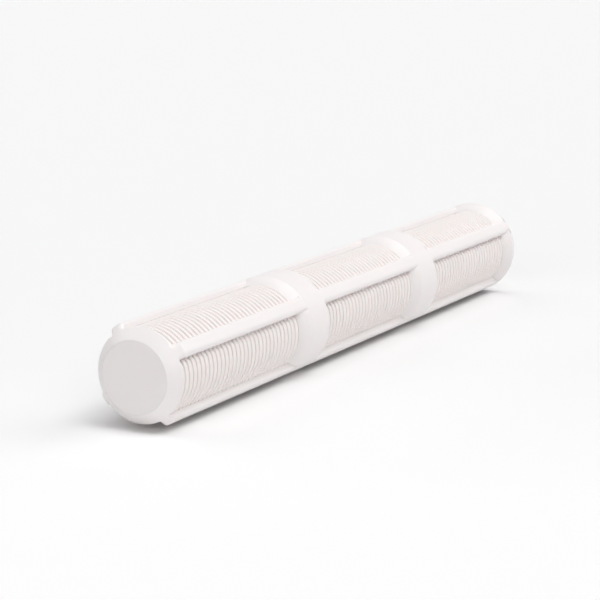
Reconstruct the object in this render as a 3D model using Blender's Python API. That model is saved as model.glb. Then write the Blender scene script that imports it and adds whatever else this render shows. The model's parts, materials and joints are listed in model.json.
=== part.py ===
"""A pond air stone: three porous stones in a row inside a slotted plastic guard.

The guard is three cages of four bars each, plugged together end to end over slotted screens. The front
end is blind, and the rear end has a screwed cap with the nipple for the air hose. Lengths run along X
from the front disc. Sizes are in metres.
"""

from math import atan2, cos, hypot, pi, radians, sin, tau

import bmesh
import bpy
from mathutils import Vector

# Driving dimensions of the guard
RIB_PITCH = 0.002775
SLOT_WIDTH = 0.0011
GUARD_RADIUS = 0.0199
RIB_RADIUS = 0.0170
SCREEN_BORE = 0.0146
NOSE_RADIUS = 0.0178
DISC_RADIUS = 0.0132
NOSE_LENGTH = 0.0041
NOSE_RING_LENGTH = 0.0007
NOSE_RIM = 0.0002
DISC_FLANGE = 0.0018
CONE_LENGTH = 0.0040
COLLAR_LENGTH = 0.0149
LIP_LENGTH = 0.0010
REAR_LIP_LENGTH = 0.0006

# Slots in each window, and the plain margin before the first and after the last of them
FRONT_SLOTS, MIDDLE_SLOTS, REAR_SLOTS = 31, 28, 27
FRONT_MARGIN = 0.0026
COLLAR_MARGIN = 0.0033
CONE_MARGIN = 0.00085

# The bars: their width round the tube, and how far the tube lies rolled on its collars
BARS = 4
BAR_ANGLE = radians(18)
BAR_CHAMFER = 0.0018
ROLL = radians(34)

# The stones and their seals
STONE_RADIUS = 0.0138
STONE_BORE = 0.0045
STONE_CHAMFER = 0.0010
SEAL_THICKNESS = 0.0030

# The rear cap, the hose nipple and its nut
FLANGE_RADIUS = 0.0197
FLANGE_THICKNESS = 0.0012
FLANGE_CHAMFER = 0.0003
SPIGOT_LENGTH = 0.0040
SEAT_DEPTH = 0.0012
NIPPLE_LENGTH = 0.0180
NIPPLE_RADIUS = 0.0042
NIPPLE_BORE = 0.0025
BARB_HEIGHT = 0.0008
BARB_COUNT = 3
BARB_NECK_SHARE = 0.35
TIP_TAPER = 0.0004
SHOULDER_RADIUS = 0.0080
SHOULDER_LENGTH = 0.0030
SHOULDER_STANDOFF = 0.0002
SHANK_RADIUS = 0.0040
NUT_RADIUS = 0.0080
NUT_LENGTH = 0.0035

# Clearances: between neighbours, under the cages, inside the coarse screens, and past a cut
GAP = 0.0003
CAGE_CLEARANCE = 0.0004
SCREEN_CLEARANCE = 0.0006
CUT_MARGIN = 0.0010
WELD = 1e-7

# Facets round the tube: the ribs are many, so each window has only a few
SEGMENTS = 80
INNER_SEGMENTS = 24
WINDOW_FACETS = 3

# Finishes: colour and roughness
WHITE_PLASTIC = ((0.88, 0.86, 0.85), 0.35)
NATURAL_NYLON = ((0.80, 0.80, 0.78), 0.40)
POROUS_STONE = ((0.55, 0.47, 0.40), 0.95)
BLACK_RUBBER = ((0.03, 0.03, 0.03), 0.70)

CAGE_BORE = RIB_RADIUS + CAGE_CLEARANCE
INSIDE_SCREEN = SCREEN_BORE - SCREEN_CLEARANCE
WINDOW_ANGLE = tau / BARS - BAR_ANGLE


def window_end(start, margin, slots):
    """Where a window that starts here ends, with its slots one rib pitch apart."""
    return start + margin + (slots - 1) * RIB_PITCH + CONE_MARGIN


# Stations along the tube, from the front disc
FRONT_START = NOSE_LENGTH
RING_END = FRONT_START + NOSE_RING_LENGTH
FRONT_END = window_end(FRONT_START, FRONT_MARGIN, FRONT_SLOTS)
MIDDLE_START = FRONT_END + CONE_LENGTH + COLLAR_LENGTH
MIDDLE_END = window_end(MIDDLE_START, COLLAR_MARGIN, MIDDLE_SLOTS)
REAR_START = MIDDLE_END + CONE_LENGTH + COLLAR_LENGTH
REAR_END = window_end(REAR_START, COLLAR_MARGIN, REAR_SLOTS)
CAGE_REAR = REAR_END + CONE_LENGTH + REAR_LIP_LENGTH
FLANGE_FRONT = CAGE_REAR + GAP
FLANGE_REAR = FLANGE_FRONT + FLANGE_THICKNESS
NIPPLE_REAR = FLANGE_REAR + NIPPLE_LENGTH
MIDDLE_X = NIPPLE_REAR / 2


def on_tube(x, radius, angle):
    """A point at this station and radius. The angle runs from -Y up towards +Z."""
    return Vector((x - MIDDLE_X, -radius * cos(angle), radius * sin(angle)))


def finished(name, builder, finish):
    """The named object of a built mesh, with its own material."""
    bmesh.ops.remove_doubles(builder, verts=builder.verts, dist=WELD)
    bmesh.ops.recalc_face_normals(builder, faces=builder.faces)
    mesh = bpy.data.meshes.new(name)
    builder.to_mesh(mesh)
    builder.free()
    mesh.shade_smooth()
    mesh.set_sharp_from_angle(angle=radians(30))
    colour, roughness = finish
    material = bpy.data.materials.new(name)
    material.use_nodes = True
    shader = material.node_tree.nodes["Principled BSDF"]
    shader.inputs["Base Color"].default_value = (*colour, 1)
    shader.inputs["Roughness"].default_value = roughness
    mesh.materials.append(material)
    obj = bpy.data.objects.new(name, mesh)
    bpy.context.collection.objects.link(obj)
    obj.parent = axis
    return obj


def spun(builder, profile, start_angle, turn, steps):
    """Draws a closed outline of (station, radius) points and turns it about the tube's axis.

    A positive turn goes from +Z down towards -Y.
    """
    points = [builder.verts.new(on_tube(x, radius, start_angle)) for x, radius in profile]
    outline = [builder.edges.new(pair) for pair in zip(points, points[1:] + points[:1])]
    bmesh.ops.spin(
        builder,
        geom=outline,
        axis=(1, 0, 0),
        cent=(0, 0, 0),
        angle=turn,
        steps=steps,
        use_merge=turn == tau,
    )


def turned(name, profile, finish=WHITE_PLASTIC, segments=SEGMENTS):
    """A solid of revolution about the tube's axis."""
    builder = bmesh.new()
    spun(builder, profile, ROLL + BAR_ANGLE / 2, tau, segments)
    bmesh.ops.remove_doubles(builder, verts=builder.verts, dist=WELD)
    bmesh.ops.dissolve_degenerate(builder, edges=builder.edges, dist=WELD)
    return finished(name, builder, finish)


def cut_windows(cage, profile):
    """Cuts the four windows between the bars out of a turned cage."""
    builder = bmesh.new()
    steps = round(WINDOW_ANGLE / tau * SEGMENTS)
    for bar in range(BARS):
        spun(builder, profile, ROLL + BAR_ANGLE / 2 + bar * tau / BARS, -WINDOW_ANGLE, steps)
    bmesh.ops.holes_fill(builder, edges=[edge for edge in builder.edges if edge.is_boundary])
    cutter = finished(cage.name + "_windows", builder, WHITE_PLASTIC)
    cutter.hide_render = True
    cutter.display_type = "WIRE"
    cut = cage.modifiers.new("windows", "BOOLEAN")
    cut.operation = "DIFFERENCE"
    cut.object = cutter


def window_outline(start, end):
    """The cut of one window, whose far end is the cone that flares up to the collar."""
    slope = CONE_LENGTH / (GUARD_RADIUS - RIB_RADIUS)
    low, high = CAGE_BORE - CUT_MARGIN, GUARD_RADIUS + CUT_MARGIN
    far_low = end + (low - RIB_RADIUS) * slope
    far_high = end + (high - RIB_RADIUS) * slope
    return [(start, low), (far_low, low), (far_high, high), (start, high)]


def front_cage():
    """The first cage: a nose ring with a conical face, and bars with chamfered front ends."""
    rear = FRONT_END + CONE_LENGTH + LIP_LENGTH
    disc_hole = DISC_RADIUS + GAP
    profile = [
        (0, disc_hole),
        (0, disc_hole + NOSE_RIM),
        (FRONT_START, NOSE_RADIUS),
        (FRONT_START + BAR_CHAMFER, GUARD_RADIUS),
        (rear, GUARD_RADIUS),
        (rear, CAGE_BORE),
        (RING_END, CAGE_BORE),
        (RING_END, disc_hole),
    ]
    near_low, far_low, far_high, near_high = window_outline(RING_END, FRONT_END)
    before_ring = FRONT_START - CUT_MARGIN
    over_ring = [(before_ring, near_high[1]), (before_ring, NOSE_RADIUS), (RING_END, NOSE_RADIUS)]
    cut_windows(turned("front_cage", profile), [*over_ring, near_low, far_low, far_high])


def collared_cage(name, start, end, rear):
    """A cage that begins with a collar, as the second and third do."""
    front = start - COLLAR_LENGTH + LIP_LENGTH + GAP
    profile = [(front, CAGE_BORE), (front, GUARD_RADIUS), (rear, GUARD_RADIUS), (rear, CAGE_BORE)]
    cut_windows(turned(name, profile), window_outline(start, end))


def screen(name, start, first_slot, slots, end):
    """A slotted sleeve: strips under the bars, and ribs across each window with open slots between."""
    stations = [start]
    for slot in range(slots):
        middle = first_slot + slot * RIB_PITCH
        stations += [middle - SLOT_WIDTH / 2, middle + SLOT_WIDTH / 2]
    stations.append(end)
    angles = []
    for bar in range(BARS):
        strip = ROLL + bar * tau / BARS - BAR_ANGLE / 2
        window = strip + BAR_ANGLE
        angles.append(strip)
        angles += [window + WINDOW_ANGLE * facet / WINDOW_FACETS for facet in range(WINDOW_FACETS)]
    rows, columns = len(stations) - 1, len(angles)
    builder = bmesh.new()
    rims = {
        (row, column, radius): builder.verts.new(on_tube(stations[row], radius, angles[column]))
        for row in range(rows + 1)
        for column in range(columns)
        for radius in (SCREEN_BORE, RIB_RADIUS)
    }

    def solid(row, column):
        """True where there is a rib or a strip. Slots are the odd rows of the window columns."""
        return 0 <= row < rows and (row % 2 == 0 or column % (WINDOW_FACETS + 1) == 0)

    def wall(first, second):
        """A face across the thickness, between two edges of the sleeve."""
        inner = [(*first, SCREEN_BORE), (*second, SCREEN_BORE)]
        outer = [(*second, RIB_RADIUS), (*first, RIB_RADIUS)]
        builder.faces.new([rims[corner] for corner in inner + outer])

    for row in range(rows + 1):
        for column in range(columns):
            following = (column + 1) % columns
            if solid(row, column) != solid(row - 1, column):
                wall((row, column), (row, following))
            if row < rows and solid(row, column) != solid(row, column - 1):
                wall((row, column), (row + 1, column))
            if solid(row, column):
                corners = [(row, column), (row, following), (row + 1, following), (row + 1, column)]
                for radius in (SCREEN_BORE, RIB_RADIUS):
                    builder.faces.new([rims[(*corner, radius)] for corner in corners])
    finished(name, builder, WHITE_PLASTIC)


def joint_ring(name, start, end):
    """The sleeve inside a collar, which holds two screens apart and two cages in line."""
    near, far = start + CONE_MARGIN, end - CONE_MARGIN
    outer = CAGE_BORE - GAP
    profile = [(near, SCREEN_BORE), (near, outer), (far, outer), (far, SCREEN_BORE)]
    turned(name, profile, segments=INNER_SEGMENTS)


def stone(name, start, end):
    """A porous tube with chamfered ends."""
    edge = STONE_RADIUS - STONE_CHAMFER
    near = [(start, STONE_BORE), (start, edge), (start + STONE_CHAMFER, STONE_RADIUS)]
    far = [(end - STONE_CHAMFER, STONE_RADIUS), (end, edge), (end, STONE_BORE)]
    turned(name, near + far, POROUS_STONE, INNER_SEGMENTS)


def washer(name, start, end, bore, radius):
    """A plain rubber ring, or a closed pad where the bore is nought."""
    profile = [(start, bore), (start, radius), (end, radius), (end, bore)]
    turned(name, profile, BLACK_RUBBER, INNER_SEGMENTS)


def end_disc():
    """The blind front face, with a flange behind the nose ring that air pressure can't push through."""
    flange = RING_END + GAP
    back = flange + DISC_FLANGE
    boss = [(0, 0), (0, DISC_RADIUS), (flange, DISC_RADIUS)]
    turned("end_disc", boss + [(flange, INSIDE_SCREEN), (back, INSIDE_SCREEN), (back, 0)])
    return back


def rear_cap():
    """The screwed cap: a flange behind the last collar, and a stepped plug with a hole for the nipple."""
    hole = SHANK_RADIUS + GAP
    plug_front = REAR_END + CONE_MARGIN
    spigot_front = plug_front - SPIGOT_LENGTH
    rim = FLANGE_RADIUS - FLANGE_CHAMFER
    seat = FLANGE_REAR - SEAT_DEPTH
    seat_radius = SHOULDER_RADIUS + GAP
    profile = [
        (spigot_front, hole),
        (spigot_front, INSIDE_SCREEN),
        (plug_front, INSIDE_SCREEN),
        (plug_front, CAGE_BORE - GAP),
        (FLANGE_FRONT, CAGE_BORE - GAP),
        (FLANGE_FRONT, rim),
        (FLANGE_FRONT + FLANGE_CHAMFER, FLANGE_RADIUS),
        (FLANGE_REAR - FLANGE_CHAMFER, FLANGE_RADIUS),
        (FLANGE_REAR, rim),
        (FLANGE_REAR, seat_radius),
        (seat, seat_radius),
        (seat, hole),
    ]
    turned("rear_cap", profile)
    seal_rear = FLANGE_REAR + SHOULDER_STANDOFF - GAP
    washer("nipple_seal", seat + GAP, seal_rear, hole + GAP, seat_radius - GAP)
    return spigot_front


def hose_nipple(inner_end):
    """The barbed nipple, held in the cap by a shoulder outside and a nut inside."""
    shoulder_front = FLANGE_REAR + SHOULDER_STANDOFF
    shoulder_rear = shoulder_front + SHOULDER_LENGTH
    barb = (NIPPLE_REAR - shoulder_rear) / BARB_COUNT
    profile = [
        (inner_end, NIPPLE_BORE),
        (inner_end, SHANK_RADIUS),
        (shoulder_front, SHANK_RADIUS),
        (shoulder_front, SHOULDER_RADIUS),
        (shoulder_rear, SHOULDER_RADIUS),
    ]
    for number in range(BARB_COUNT):
        foot = shoulder_rear + number * barb
        crest = foot + barb * BARB_NECK_SHARE
        profile += [(foot, NIPPLE_RADIUS), (crest, NIPPLE_RADIUS), (crest, NIPPLE_RADIUS + BARB_HEIGHT)]
    profile += [(NIPPLE_REAR, NIPPLE_RADIUS - TIP_TAPER), (NIPPLE_REAR, NIPPLE_BORE)]
    turned("hose_nipple", profile, NATURAL_NYLON, INNER_SEGMENTS)


def nipple_nut(front):
    """The six-sided nut that draws the nipple's shoulder onto the cap: a turned ring with six flats."""
    bore = SHANK_RADIUS + GAP
    back = front + NUT_LENGTH
    profile = [(front, bore), (front, NUT_RADIUS), (back, NUT_RADIUS), (back, bore)]
    nut = turned("nipple_nut", profile, NATURAL_NYLON, INNER_SEGMENTS)
    flat = NUT_RADIUS * cos(pi / 6)
    for vertex in nut.data.vertices:
        radius = hypot(vertex.co.y, vertex.co.z)
        if radius > (bore + NUT_RADIUS) / 2:
            from_corner = (atan2(vertex.co.z, -vertex.co.y) - ROLL - BAR_ANGLE / 2) % (pi / 3)
            vertex.co.yz *= flat / cos(from_corner - pi / 6) / radius


for old in list(bpy.data.objects):
    bpy.data.objects.remove(old)
axis = bpy.data.objects.new("tube_axis", None)
bpy.context.collection.objects.link(axis)

front_cage()
collared_cage("middle_cage", MIDDLE_START, MIDDLE_END, MIDDLE_END + CONE_LENGTH + LIP_LENGTH)
collared_cage("rear_cage", REAR_START, REAR_END, CAGE_REAR)

# Each screen runs from just inside one collar to just inside the next
tuck = CONE_MARGIN - GAP
screen("front_screen", RING_END + GAP, FRONT_START + FRONT_MARGIN, FRONT_SLOTS, FRONT_END + tuck)
screen("middle_screen", MIDDLE_START - tuck, MIDDLE_START + COLLAR_MARGIN, MIDDLE_SLOTS, MIDDLE_END + tuck)
screen("rear_screen", REAR_START - tuck, REAR_START + COLLAR_MARGIN, REAR_SLOTS, REAR_END + tuck)
joint_ring("front_joint_ring", FRONT_END, MIDDLE_START)
joint_ring("rear_joint_ring", MIDDLE_END, REAR_START)

disc_back = end_disc()
cap_front = rear_cap()
hose_nipple(cap_front - NUT_LENGTH - SEAL_THICKNESS)
nipple_nut(cap_front - GAP - NUT_LENGTH)

# The stones stand end to end between the disc and the nut, with a soft washer in each joint
front_joint = (FRONT_END + MIDDLE_START + CONE_LENGTH) / 2
rear_joint = (MIDDLE_END + REAR_START + CONE_LENGTH) / 2
last_seal = cap_front - 2 * GAP - NUT_LENGTH
half = SEAL_THICKNESS / 2
washer("front_stone_seal", disc_back + GAP, disc_back + SEAL_THICKNESS, 0, STONE_RADIUS - STONE_CHAMFER)
stone("front_stone", disc_back + SEAL_THICKNESS + GAP, front_joint - half - GAP)
washer("front_joint_seal", front_joint - half, front_joint + half, STONE_BORE, SCREEN_BORE - GAP)
stone("middle_stone", front_joint + half + GAP, rear_joint - half - GAP)
washer("rear_joint_seal", rear_joint - half, rear_joint + half, STONE_BORE, SCREEN_BORE - GAP)
stone("rear_stone", rear_joint + half + GAP, last_seal - SEAL_THICKNESS - GAP)
washer("rear_stone_seal", last_seal - SEAL_THICKNESS, last_seal, STONE_BORE, INSIDE_SCREEN)

# The tube lies on the flats of its collars, at floor height nought
corners = [ROLL + BAR_ANGLE / 2 + step * tau / SEGMENTS for step in range(SEGMENTS)]
axis.location.z = max(GUARD_RADIUS * sin(corner) for corner in corners)
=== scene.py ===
import json
from math import atan2, cos, hypot, radians, sin, sqrt, tau

import bmesh
import bpy
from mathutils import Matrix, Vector


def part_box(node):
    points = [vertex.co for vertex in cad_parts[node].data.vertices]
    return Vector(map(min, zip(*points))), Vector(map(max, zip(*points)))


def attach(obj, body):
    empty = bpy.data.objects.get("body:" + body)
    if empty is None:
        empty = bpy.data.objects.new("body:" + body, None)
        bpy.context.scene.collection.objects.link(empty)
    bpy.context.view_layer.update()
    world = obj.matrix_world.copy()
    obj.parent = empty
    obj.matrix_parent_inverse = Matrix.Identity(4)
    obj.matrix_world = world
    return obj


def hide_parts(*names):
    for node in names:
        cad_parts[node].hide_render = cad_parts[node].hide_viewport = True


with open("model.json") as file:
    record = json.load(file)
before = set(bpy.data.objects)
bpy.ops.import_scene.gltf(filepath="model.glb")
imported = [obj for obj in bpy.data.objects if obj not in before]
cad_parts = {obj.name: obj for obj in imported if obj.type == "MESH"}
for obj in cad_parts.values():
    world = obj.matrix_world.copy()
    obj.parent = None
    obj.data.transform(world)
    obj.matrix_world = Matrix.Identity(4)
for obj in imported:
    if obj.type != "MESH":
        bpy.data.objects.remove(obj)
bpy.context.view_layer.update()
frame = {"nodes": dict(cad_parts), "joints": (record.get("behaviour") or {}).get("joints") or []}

# Front cage
# The first of the guard's three white plastic mouldings: a conical nose, then four long bars that flare into
# a collar. The windows are cored out in the mould, and the outer edges have small moulding radii.
GUARD_RADIUS = 0.0199
NOSE_RADIUS = 0.0178
NOSE_HOLE_RADIUS = 0.0134
NOSE_LENGTH = 0.0041
NOSE_RING_LENGTH = 0.0007
BAR_FOOT_RADIUS = 0.01702
BAR_CHAMFER = 0.0018
COLLAR_BORE = 0.0174
CONE_LENGTH = 0.0040
BAR_EDGE = 0.0015
RIM_EDGE = 0.0004
SCREEN_TUCK = 0.00055
HAIRLINE = 0.00003
BARS = 4
BAR_ANGLE = radians(18)
ROLL = radians(34)
WINDOW_ANGLE = tau / BARS - BAR_ANGLE
WINDOW_MIDDLE = ROLL + tau / BARS / 2
ROUND_STEPS = 120
CAGE_STEPS = 60
EDGE_SEGMENTS = 4
LEAST_TURN = radians(25)
SHARP_TURN = radians(40)
WELD_DISTANCE = 1e-7
axis_height = frame["joints"][0]["pos_m"][2]
nose_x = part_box("front_cage")[0].x


def on_tube(x, radius, angle):
    """A point at this station and radius. The angle runs from -Y up towards +Z."""
    return Vector((x, -radius * cos(angle), axis_height + radius * sin(angle)))


def radius_of(place):
    """How far a place is from the tube's axis."""
    return hypot(place.y, place.z - axis_height)


def middle_of(edge):
    """The place halfway along an edge."""
    return (edge.verts[0].co + edge.verts[1].co) / 2


def turned(outline, steps=ROUND_STEPS):
    """A closed outline of (station, radius) points, turned once round the tube's axis."""
    builder = bmesh.new()
    points = [builder.verts.new(on_tube(x, radius, ROLL + BAR_ANGLE / 2)) for x, radius in outline]
    edges = [builder.edges.new(pair) for pair in zip(points, points[1:] + points[:1])]
    bmesh.ops.spin(
        builder,
        geom=edges,
        axis=(-1, 0, 0),
        cent=(0, 0, axis_height),
        angle=tau,
        steps=steps,
        use_merge=True,
    )
    bmesh.ops.remove_doubles(builder, verts=builder.verts, dist=WELD_DISTANCE)
    bmesh.ops.recalc_face_normals(builder, faces=builder.faces)
    return builder


def window_beside(place):
    """The nearest window's number, and the angle from its middle, which grows upwards on the right."""
    turns = (atan2(place.z - axis_height, -place.y) - WINDOW_MIDDLE) / tau * BARS
    number = round(turns)
    return number % BARS, (turns - number) * tau / BARS


def pierce(builder, inside, hole_beside):
    """Opens both walls of a tube wherever inside says so, and joins each hole's two rims."""
    opened = [face for face in builder.faces if inside(face.calc_center_median())]
    bmesh.ops.delete(builder, geom=opened, context="FACES")
    rims = {}
    for edge in builder.edges:
        if edge.is_boundary:
            rims.setdefault(hole_beside(middle_of(edge)), []).append(edge)
    for rim in rims.values():
        bmesh.ops.bridge_loops(builder, edges=rim)
    bmesh.ops.recalc_face_normals(builder, faces=builder.faces)


def round_edges(builder, edge_radius, least_radius, near, far, wanted=lambda edge: True):
    """Rounds the wanted outward edges that lie outside this radius and between these two stations."""
    sharp = []
    for edge in builder.edges:
        middle = middle_of(edge)
        in_reach = radius_of(middle) > least_radius and near < middle.x < far
        if in_reach and edge.is_convex and edge.calc_face_angle(0) > LEAST_TURN and wanted(edge):
            sharp.append(edge)
    bmesh.ops.bevel(
        builder,
        geom=sharp,
        offset=edge_radius,
        segments=EDGE_SEGMENTS,
        profile=0.5,
        affect="EDGES",
        material=-1,
    )


def runs_along(edge):
    """Whether an edge runs along the tube and not round it."""
    run = edge.verts[1].co - edge.verts[0].co
    return abs(run.x) > run.length / 2


def runs_round(edge):
    """Whether an edge runs round the tube and not along it."""
    return not runs_along(edge)


def add_object(name, held):
    """A new object in the scene that holds this mesh, camera or lamp."""
    made = bpy.data.objects.new(name, held)
    bpy.context.scene.collection.objects.link(made)
    return made


def add_mesh(builder, name):
    """A new object in the scene with the builder's mesh."""
    mesh = bpy.data.meshes.new(name)
    builder.to_mesh(mesh)
    builder.free()
    return add_object(name, mesh)


def add_piece(builder, name, body, slot, finish, *nodes):
    """Adds the builder's mesh as a smooth piece that rides on its body in place of its plainer solids."""
    piece = add_mesh(builder, name)
    piece.data.shade_smooth()
    piece.data.set_sharp_from_angle(angle=SHARP_TURN)
    piece.data.materials.append(finish)
    even = piece.modifiers.new("even_shading", "WEIGHTED_NORMAL")
    even.keep_sharp = True
    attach(piece, body)
    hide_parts(*nodes)


class Shade:
    """One value, colour or vector in a shader. Arithmetic on it adds the nodes that work it out."""

    # The Mix node's colour sockets come after those for numbers and vectors
    FIRST_COLOUR, SECOND_COLOUR, MIXED_COLOUR = 6, 7, 2

    def __init__(self, tree, socket=None):
        self.tree = tree
        self.socket = socket

    def node(self, kind, settings, sockets, output=0):
        """Adds a node of this type with its settings, then its socket values or links."""
        made = self.tree.nodes.new(kind)
        for name, value in settings.items():
            setattr(made, name, value)
        for name, value in sockets.items():
            if isinstance(value, Shade):
                self.tree.links.new(value.socket, made.inputs[name])
            else:
                made.inputs[name].default_value = value
        return Shade(self.tree, made.outputs[output])

    def __add__(self, other):
        return self.node("ShaderNodeMath", {"operation": "ADD"}, {0: self, 1: other})

    __radd__ = __add__

    def __mul__(self, other):
        return self.node("ShaderNodeMath", {"operation": "MULTIPLY"}, {0: self, 1: other})

    __rmul__ = __mul__

    def place(self):
        """Where the surface is, in metres."""
        return self.node("ShaderNodeTexCoord", {}, {}, "Object")

    def noise(self, scale, detail=3.0):
        """Soft random variation at this many features to the metre, from nought to one."""
        sockets = {"Vector": self.place(), "Scale": scale, "Detail": detail}
        return self.node("ShaderNodeTexNoise", {}, sockets)

    def between(self, share, first, second):
        """A colour this share of the way from the first to the second."""
        sockets = {"Factor": share, self.FIRST_COLOUR: (*first, 1), self.SECOND_COLOUR: (*second, 1)}
        return self.node("ShaderNodeMix", {"data_type": "RGBA"}, sockets, self.MIXED_COLOUR)

    def bump(self, height, strength, distance):
        """A surface normal that follows this height."""
        sockets = {"Strength": strength, "Distance": distance, "Height": height}
        return self.node("ShaderNodeBump", {}, sockets)

    def into(self, shader, name):
        """Feeds this to one of a shader's sockets."""
        self.tree.links.new(self.socket, shader.inputs[name])


def new_finish(name):
    """An empty material, its Principled shader, and a Shade to build with."""
    finish = bpy.data.materials.new(name)
    finish.use_nodes = True
    return finish, finish.node_tree.nodes["Principled BSDF"], Shade(finish.node_tree)


TINT_SCALE = 45.0
GRAIN_SCALE = 1800.0
GRAIN_DETAIL = 2.0
GRAIN_DULLING = 0.10
GRAIN_STRENGTH = 0.08
GRAIN_DEPTH = 0.0001
GLOW_SPREAD = (1.0, 0.7, 0.6)


def moulded_plastic(name, pale, warm, roughness, glow, glow_depth):
    """White plastic: a slow drift of tint, a fine grain in the gloss, and a little light let through."""
    finish, shader, shade = new_finish(name)
    grain = shade.noise(GRAIN_SCALE, GRAIN_DETAIL)
    shade.between(shade.noise(TINT_SCALE), pale, warm).into(shader, "Base Color")
    (roughness + GRAIN_DULLING * grain).into(shader, "Roughness")
    shade.bump(grain, GRAIN_STRENGTH, GRAIN_DEPTH).into(shader, "Normal")
    shader.inputs["Subsurface Weight"].default_value = glow
    shader.inputs["Subsurface Radius"].default_value = GLOW_SPREAD
    shader.inputs["Subsurface Scale"].default_value = glow_depth
    return finish


guard_white = moulded_plastic(
    "guard_white",
    pale=(0.91, 0.868, 0.866),
    warm=(0.895, 0.85, 0.845),
    roughness=0.34,
    glow=0.15,
    glow_depth=0.0012,
)


def window_tests(near, far):
    """Tests for a cage's windows: which places are in the opening, and which window a place is beside."""
    wall_middle = (BAR_FOOT_RADIUS + NOSE_RADIUS) / 2

    def inside(place):
        # The opening is longer on the outside, where the flare rises from its far end
        radius = radius_of(place)
        rear = far + CONE_LENGTH if radius > wall_middle else far
        in_wall = radius > BAR_FOOT_RADIUS * cos(tau / CAGE_STEPS)
        return in_wall and near < place.x < rear and abs(window_beside(place)[1]) < WINDOW_ANGLE / 2

    return inside, lambda place: window_beside(place)[0]


def flared_end(far, rear):
    """The rear of a cage's outline: the flare's ridge, the collar, its bore and the foot of the bars."""
    bore_end = far + SCREEN_TUCK
    return [
        (far + CONE_LENGTH, GUARD_RADIUS),
        (rear, GUARD_RADIUS),
        (rear, COLLAR_BORE),
        (bore_end, COLLAR_BORE),
        (bore_end, BAR_FOOT_RADIUS),
        (far, BAR_FOOT_RADIUS),
    ]


def add_cage(cage, outline, near, far, rounded_from, rounded_to):
    """Adds a cage: its outline turned, its windows opened, and its edges rounded between two stations."""
    shell = turned(outline, CAGE_STEPS)
    pierce(shell, *window_tests(near, far))
    round_edges(shell, BAR_EDGE, COLLAR_BORE, rounded_from, rounded_to, runs_along)
    round_edges(shell, RIM_EDGE, COLLAR_BORE, rounded_from, rounded_to, runs_round)
    add_piece(shell, cage + "_cage_moulding", "guard", "white_plastic", guard_white, cage + "_cage")


front_near = nose_x + NOSE_LENGTH
front_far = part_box("front_screen")[1].x - SCREEN_TUCK
front_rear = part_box("middle_cage")[0].x - HAIRLINE
ring_end = front_near + NOSE_RING_LENGTH
front_outline = [
    (nose_x, NOSE_HOLE_RADIUS),
    (front_near, NOSE_RADIUS),
    (front_near + BAR_CHAMFER, GUARD_RADIUS),
    *flared_end(front_far, front_rear),
    (front_near + BAR_CHAMFER, BAR_FOOT_RADIUS),
    (ring_end, BAR_FOOT_RADIUS),
    (ring_end, NOSE_HOLE_RADIUS),
]
add_cage("front", front_outline, front_near, front_far, nose_x, front_rear - HAIRLINE)

# Middle and rear cages
# The guard's other two mouldings, in the same plastic. Each begins with a plain collar, which a ring inside
# it joins to the cage before, and ends in the flare of the next collar.
FLANGE_THICKNESS = 0.0012
flange_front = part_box("rear_cap")[1].x - FLANGE_THICKNESS
cage_rears = {"middle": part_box("rear_cage")[0].x - HAIRLINE, "rear": flange_front - HAIRLINE}
for cage, rear in cage_rears.items():
    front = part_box(cage + "_cage")[0].x
    screen_low, screen_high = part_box(cage + "_screen")
    near = screen_low.x + SCREEN_TUCK
    far = screen_high.x - SCREEN_TUCK
    outline = [
        (front, COLLAR_BORE),
        (front, GUARD_RADIUS),
        (near, GUARD_RADIUS),
        *flared_end(far, rear),
        (near, BAR_FOOT_RADIUS),
        (near - SCREEN_TUCK, BAR_FOOT_RADIUS),
        (near - SCREEN_TUCK, COLLAR_BORE),
    ]
    add_cage(cage, outline, near, far, front + HAIRLINE, rear - HAIRLINE)

# Screens
# Three slotted sleeves of white plastic, one pushed into each cage, a little warmer and darker than the
# cages:
# partly the plastic's own tint and partly painted shade for the slots. Thin ribs run round each window, with
# open slots between them, and curve up to the bar at one end and down beside it at the other.
RIB_PITCH = 0.002775
SLOT_WIDTH = 0.0006
RIB_RADIUS = 0.0170
SCREEN_BORE = 0.0146
CONE_MARGIN = 0.00085
RIB_EDGE = 0.00045
ROOT_RADIUS = 0.0012
TIP_SINK = 0.0010
TIP_REACH = 0.0032
END_FADE = 0.0012
ROOT_STEP = radians(1)
SLOT_LAND = 2 * ROOT_STEP
SLOT_REACH = tau / ROUND_STEPS
SLOTS = {"front": 31, "middle": 28, "rear": 27}

# Partly painted shade: this colour is darker and warmer than the cages' to stand in for shade in the slots
screen_white_and_shade = moulded_plastic(
    "screen_white_and_shade",
    pale=(0.915, 0.856, 0.842),
    warm=(0.90, 0.84, 0.824),
    roughness=0.40,
    glow=0.2,
    glow_depth=0.0004,
)


def slot_tests(first_slot, slots):
    """Tests for a screen's slots: which places are in one, and which window's slot a place is beside."""

    def slot_beside(place):
        number = min(max(round((place.x - first_slot) / RIB_PITCH), 0), slots - 1)
        return number, abs(place.x - first_slot - number * RIB_PITCH)

    def inside(place):
        angle = window_beside(place)[1]
        in_wall = radius_of(place) > SCREEN_BORE * cos(tau / ROUND_STEPS)
        in_reach = SLOT_LAND - WINDOW_ANGLE / 2 < angle < WINDOW_ANGLE / 2 + SLOT_REACH
        return in_wall and in_reach and slot_beside(place)[1] < SLOT_WIDTH / 2

    return inside, lambda place: (slot_beside(place)[0], window_beside(place)[0])


def divide_ribs(builder):
    """Adds edges along the sleeve beside each bar, so that the ribs' roots and tips can bend smoothly."""
    beside_bar = BAR_ANGLE / 2 + ROOT_STEP
    # A plane through the axis cuts beside two bars at once
    for bar in range(BARS // 2):
        for step in (-beside_bar, beside_bar, beside_bar + ROOT_STEP):
            angle = ROLL + bar * tau / BARS + step
            bmesh.ops.bisect_plane(
                builder,
                geom=[*builder.verts, *builder.edges, *builder.faces],
                dist=WELD_DISTANCE,
                plane_co=(0, 0, axis_height),
                plane_no=(0, sin(angle), cos(angle)),
            )


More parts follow.
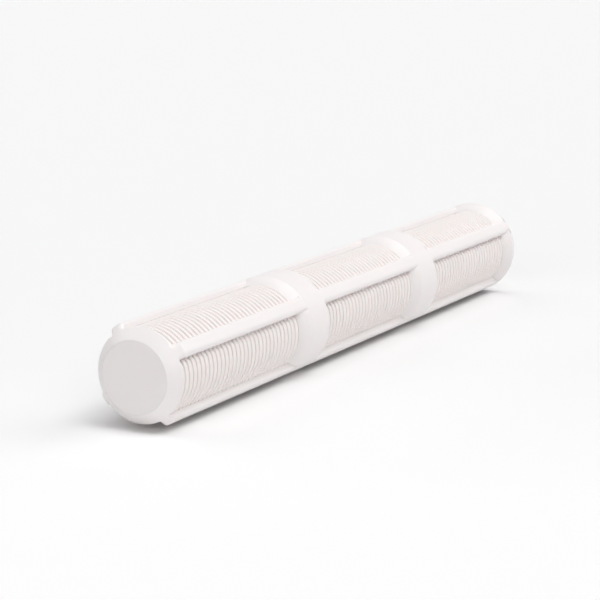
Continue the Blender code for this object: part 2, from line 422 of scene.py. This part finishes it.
def rib_lift(angle):
    """How far the ribs rise in a hollow at their roots or, below nought, sink in a groove at their tips."""
    from_root = RIB_RADIUS * (WINDOW_ANGLE / 2 + angle)
    from_tip = RIB_RADIUS * (WINDOW_ANGLE / 2 - angle)
    if -HAIRLINE < from_root < ROOT_RADIUS:
        hollow = ROOT_RADIUS - max(from_root, 0)
        return ROOT_RADIUS - sqrt(ROOT_RADIUS ** 2 - hollow ** 2)
    if HAIRLINE < from_tip < TIP_REACH:
        return -TIP_SINK * (1 - from_tip / TIP_REACH) ** 2
    return 0


def sweep_ribs(builder, front, rear):
    """Bends the outside of a sleeve's ribs beside the bars, and fades the bend at the sleeve's two ends."""
    for vertex in builder.verts:
        radius = radius_of(vertex.co)
        if radius > RIB_RADIUS - 2 * RIB_EDGE:
            from_end = min(vertex.co.x - front, rear - vertex.co.x)
            lift = rib_lift(window_beside(vertex.co)[1]) * min(from_end / END_FADE, 1)
            stretch = lift / radius
            vertex.co.y *= 1 + stretch
            vertex.co.z += (vertex.co.z - axis_height) * stretch


for screen, slots in SLOTS.items():
    low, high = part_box(screen + "_screen")
    # The front screen starts just behind the ring inside the nose
    front = ring_end + HAIRLINE if screen == "front" else low.x
    last_slot = high.x - SCREEN_TUCK - CONE_MARGIN
    first_slot = last_slot - (slots - 1) * RIB_PITCH
    middles = [first_slot + number * RIB_PITCH for number in range(slots)]
    slot_sides = [middle + side * SLOT_WIDTH / 2 for middle in middles for side in (-1, 1)]
    stations = [front, *slot_sides, high.x]
    outside = [(x, RIB_RADIUS) for x in stations]
    bore = [(x, SCREEN_BORE) for x in reversed(stations)]
    sleeve = turned(outside + bore)
    divide_ribs(sleeve)
    pierce(sleeve, *slot_tests(first_slot, slots))
    round_edges(sleeve, RIB_EDGE, RIB_RADIUS - RIB_EDGE, front + HAIRLINE, high.x - HAIRLINE, runs_round)
    sweep_ribs(sleeve, front, high.x)
    add_piece(sleeve, screen + "_ribs", "guard", "white_plastic", screen_white_and_shade, screen + "_screen")

# End disc
# The blind front face of the tube: a flat disc of the guard's white plastic. It is let into the nose from
# behind, and a flange round its back holds it there.
DISC_EDGE = 0.00008
DISC_FLANGE_RADIUS = 0.0140
DISC_FLANGE_GAP = 0.0003
disc_low, disc_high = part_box("end_disc")
disc_flange = ring_end + DISC_FLANGE_GAP
disc = turned([
    (disc_low.x, 0),
    (disc_low.x, NOSE_HOLE_RADIUS - HAIRLINE),
    (disc_flange, NOSE_HOLE_RADIUS - HAIRLINE),
    (disc_flange, DISC_FLANGE_RADIUS),
    (disc_high.x, DISC_FLANGE_RADIUS),
    (disc_high.x, 0),
])
round_edges(disc, DISC_EDGE, NOSE_HOLE_RADIUS / 2, disc_low.x - HAIRLINE, disc_high.x + HAIRLINE)
add_piece(disc, "front_disc", "guard", "white_plastic", guard_white, "end_disc")

# Rear cap
# The white cap that screws into the last collar and is turned by hand to open the tube: a thin flange over
# the collar's end, a stepped plug, and a counterbored hole for the hose nipple.
FLANGE_RADIUS = 0.0197
PLUG_RADIUS = 0.0171
SPIGOT_RADIUS = 0.0140
SPIGOT_LENGTH = 0.0040
NIPPLE_HOLE_RADIUS = 0.0043
SEAT_RADIUS = 0.0083
SEAT_DEPTH = 0.0012
CAP_EDGE = 0.00025
cap_low, cap_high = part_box("rear_cap")
plug_front = cap_low.x + SPIGOT_LENGTH
cap = turned([
    (cap_low.x, NIPPLE_HOLE_RADIUS),
    (cap_low.x, SPIGOT_RADIUS),
    (plug_front, SPIGOT_RADIUS),
    (plug_front, PLUG_RADIUS),
    (flange_front, PLUG_RADIUS),
    (flange_front, FLANGE_RADIUS),
    (cap_high.x, FLANGE_RADIUS),
    (cap_high.x, SEAT_RADIUS),
    (cap_high.x - SEAT_DEPTH, SEAT_RADIUS),
    (cap_high.x - SEAT_DEPTH, NIPPLE_HOLE_RADIUS),
])
round_edges(cap, CAP_EDGE, NIPPLE_HOLE_RADIUS / 2, cap_low.x - HAIRLINE, cap_high.x + HAIRLINE)
add_piece(cap, "rear_cap_moulding", "cap", "white_plastic", guard_white, "rear_cap")

# Hose nipple and nut
# A barbed nipple moulded in natural nylon, for a soft air hose. Its shoulder bears on a rubber ring in the
# cap, and a six-sided nut of the same nylon holds it from inside.
NIPPLE_RADIUS = 0.0042
NIPPLE_BORE = 0.0025
BARB_HEIGHT = 0.0008
BARB_COUNT = 3
BARB_NECK_SHARE = 0.35
TIP_TAPER = 0.0004
SHOULDER_RADIUS = 0.0080
SHOULDER_LENGTH = 0.0030
SHOULDER_STANDOFF = 0.0002
SHANK_RADIUS = 0.0040
NIPPLE_EDGE = 0.00015

natural_nylon = moulded_plastic(
    "natural_nylon",
    pale=(0.83, 0.82, 0.77),
    warm=(0.79, 0.77, 0.71),
    roughness=0.30,
    glow=0.3,
    glow_depth=0.0012,
)
nipple_low, nipple_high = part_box("hose_nipple")
shoulder_front = cap_high.x + SHOULDER_STANDOFF
shoulder_rear = shoulder_front + SHOULDER_LENGTH
barb_length = (nipple_high.x - shoulder_rear) / BARB_COUNT
nipple_outline = [
    (nipple_low.x, NIPPLE_BORE),
    (nipple_low.x, SHANK_RADIUS),
    (shoulder_front, SHANK_RADIUS),
    (shoulder_front, SHOULDER_RADIUS),
    (shoulder_rear, SHOULDER_RADIUS),
]
for number in range(BARB_COUNT):
    foot = shoulder_rear + number * barb_length
    crest = foot + barb_length * BARB_NECK_SHARE
    nipple_outline += [(foot, NIPPLE_RADIUS), (crest, NIPPLE_RADIUS), (crest, NIPPLE_RADIUS + BARB_HEIGHT)]
nipple_outline += [(nipple_high.x, NIPPLE_RADIUS - TIP_TAPER), (nipple_high.x, NIPPLE_BORE)]
nipple = turned(nipple_outline)
round_edges(nipple, NIPPLE_EDGE, NIPPLE_BORE / 2, nipple_low.x - HAIRLINE, nipple_high.x + HAIRLINE)
add_piece(nipple, "barbed_nipple", "cap", "natural_nylon", natural_nylon, "hose_nipple")


def finish_nodes(finish, *names):
    """Gives these solids, which keep their own shape, a finish."""
    for name in names:
        for held in frame["nodes"][name].material_slots:
            held.material = finish


finish_nodes(natural_nylon, "nipple_nut")

# Joint rings
# Two plain sleeves of the screens' white plastic, pressed into the collars where the cages meet. They keep
# the guard in line.
finish_nodes(screen_white_and_shade, "front_joint_ring", "rear_joint_ring")

# Stones
# Three tubes of fused brown-grey mineral grit, which the air seeps through, one inside each screen. The
# grains differ in tone, and the pores between them are dark.
PORE_BROWN = (0.20, 0.16, 0.125)
GRIT_BROWN = (0.66, 0.58, 0.50)
GRIT_SCALE = 1400.0
GRIT_TONE = 0.6
PATCH_SCALE = 900.0
PATCH_TONE = 0.55
STONE_ROUGHNESS = 0.85
GRIT_DULLING = 0.12
GRIT_STRENGTH = 0.8
GRIT_DEPTH = 0.0003
stone_grit, stone_shader, grit = new_finish("stone_grit")
grains = grit.node("ShaderNodeTexVoronoi", {}, {"Vector": grit.place(), "Scale": GRIT_SCALE}, "Distance")
tone = PATCH_TONE * grit.noise(PATCH_SCALE) + GRIT_TONE * grains
grit.between(tone, PORE_BROWN, GRIT_BROWN).into(stone_shader, "Base Color")
(STONE_ROUGHNESS + GRIT_DULLING * grains).into(stone_shader, "Roughness")
grit.bump(grains, GRIT_STRENGTH, GRIT_DEPTH).into(stone_shader, "Normal")
finish_nodes(stone_grit, "front_stone", "middle_stone", "rear_stone")

# Rubber seals
# Soft black washers between the stones, at both ends of their row and under the nipple's shoulder. The
# rubber is dull, with a faint grey bloom.
RUBBER_BLACK = (0.012, 0.012, 0.013)
BLOOM_GREY = (0.05, 0.05, 0.052)
BLOOM_SCALE = 220.0
RUBBER_ROUGHNESS = 0.55
BLOOM_DULLING = 0.3
RUBBER_GRAIN_SCALE = 2500.0
RUBBER_GRAIN_STRENGTH = 0.15
RUBBER_GRAIN_DEPTH = 0.0001
black_rubber, rubber_shader, rubber = new_finish("black_rubber")
bloom = rubber.noise(BLOOM_SCALE)
rubber_grain = rubber.noise(RUBBER_GRAIN_SCALE)
rubber.between(bloom, RUBBER_BLACK, BLOOM_GREY).into(rubber_shader, "Base Color")
(RUBBER_ROUGHNESS + BLOOM_DULLING * bloom).into(rubber_shader, "Roughness")
rubber.bump(rubber_grain, RUBBER_GRAIN_STRENGTH, RUBBER_GRAIN_DEPTH).into(rubber_shader, "Normal")
joint_seals = ("front_joint_seal", "rear_joint_seal")
finish_nodes(black_rubber, "front_stone_seal", *joint_seals, "rear_stone_seal", "nipple_seal")

# Camera
# The photograph's view: low over the nose and along the tube's right side, through a long lens from a little
# under a metre away.
AZIMUTH = radians(28.28)
ELEVATION = radians(11.72)
DISTANCE = 0.9223
TARGET = Vector((-0.0318, 0, 0.02533))
SENSOR_WIDTH = 36.0
FOCAL_LENGTH = 140.5


def facing_from(direction):
    """The turn of a camera or lamp that stands in this direction and faces back along it."""
    return (-direction).to_track_quat("-Z", "Y").to_euler()


backwards = Vector((-cos(AZIMUTH) * cos(ELEVATION), -sin(AZIMUTH) * cos(ELEVATION), sin(ELEVATION)))
camera = add_object("camera", bpy.data.cameras.new("camera"))
camera.location = TARGET + backwards * DISTANCE
camera.rotation_euler = facing_from(backwards)
camera.data.sensor_width = SENSOR_WIDTH
camera.data.lens = FOCAL_LENGTH
bpy.context.scene.camera = camera
bpy.context.scene.view_settings.view_transform = "Standard"

# Floor
# A wide sheet of pale matt paper under the tube. It runs seamless to the horizon. Its colour is painted a
# little lighter towards the viewer, as painted light from the front.
FLOOR_HALF_WIDTH = 6.0
PAINTED_LIGHT_FROM, PAINTED_LIGHT_TO = 0.03, 0.22
FAR_WHITE = (0.92, 0.92, 0.92)
PAINTED_LIT_WHITE = (0.98, 0.98, 0.98)
PAPER_ROUGHNESS = 0.9
floor_builder = bmesh.new()
bmesh.ops.create_grid(floor_builder, x_segments=1, y_segments=1, size=FLOOR_HALF_WIDTH)
floor = add_mesh(floor_builder, "floor")
paper, paper_shader, sheet = new_finish("pale_paper")
# Painted light: the paper's colour brightens towards the viewer between these two distances
towards_viewer = {0: sheet.place(), 1: (-cos(AZIMUTH), -sin(AZIMUTH), 0)}
nearness = sheet.node("ShaderNodeVectorMath", {"operation": "DOT_PRODUCT"}, towards_viewer, "Value")
limits = {"Value": nearness, "From Min": PAINTED_LIGHT_FROM, "From Max": PAINTED_LIGHT_TO}
painted_light_share = sheet.node("ShaderNodeMapRange", {}, limits)
sheet.between(painted_light_share, FAR_WHITE, PAINTED_LIT_WHITE).into(paper_shader, "Base Color")
paper_shader.inputs["Roughness"].default_value = PAPER_ROUGHNESS
floor.data.materials.append(paper)

# Light
# A key high on the tube's right and a softbox overhead, with fills from the rear right, the front right, low
# in front and the left. The pale surround is only seen and reflected.
SURROUND_SEEN = 0.8


def sun(name, strength, spread, direction):
    """A lamp far off in this direction, as soft as it is wide."""
    lamp = add_object(name, bpy.data.lights.new(name, "SUN"))
    lamp.data.energy = strength
    lamp.data.angle = radians(spread)
    lamp.rotation_euler = facing_from(Vector(direction))


sun("overhead_softbox", strength=0.65, spread=30, direction=(0, 0, 1))
sun("right_key", strength=1.1, spread=30, direction=(0, -0.42, 0.91))
sun("rear_right_fill", strength=0.75, spread=40, direction=(0.55, -0.55, 0.62))
sun("front_right_fill", strength=0.62, spread=40, direction=(-0.62, -0.62, 0.48))
sun("low_front_fill", strength=0.43, spread=40, direction=(-0.94, 0, 0.34))
sun("left_fill", strength=0.75, spread=50, direction=(0.05, 0.66, 0.75))
world = bpy.data.worlds.new("pale_surround")
world.use_nodes = True
bpy.context.scene.world = world
surround = Shade(world.node_tree)
seen_by = ("Is Camera Ray", "Is Glossy Ray", "Is Transmission Ray")
seen = sum(surround.node("ShaderNodeLightPath", {}, {}, ray) for ray in seen_by)
background = world.node_tree.nodes["Background"]
background.inputs["Color"].default_value = (1, 1, 1, 1)
(SURROUND_SEEN * seen).into(background, "Strength")
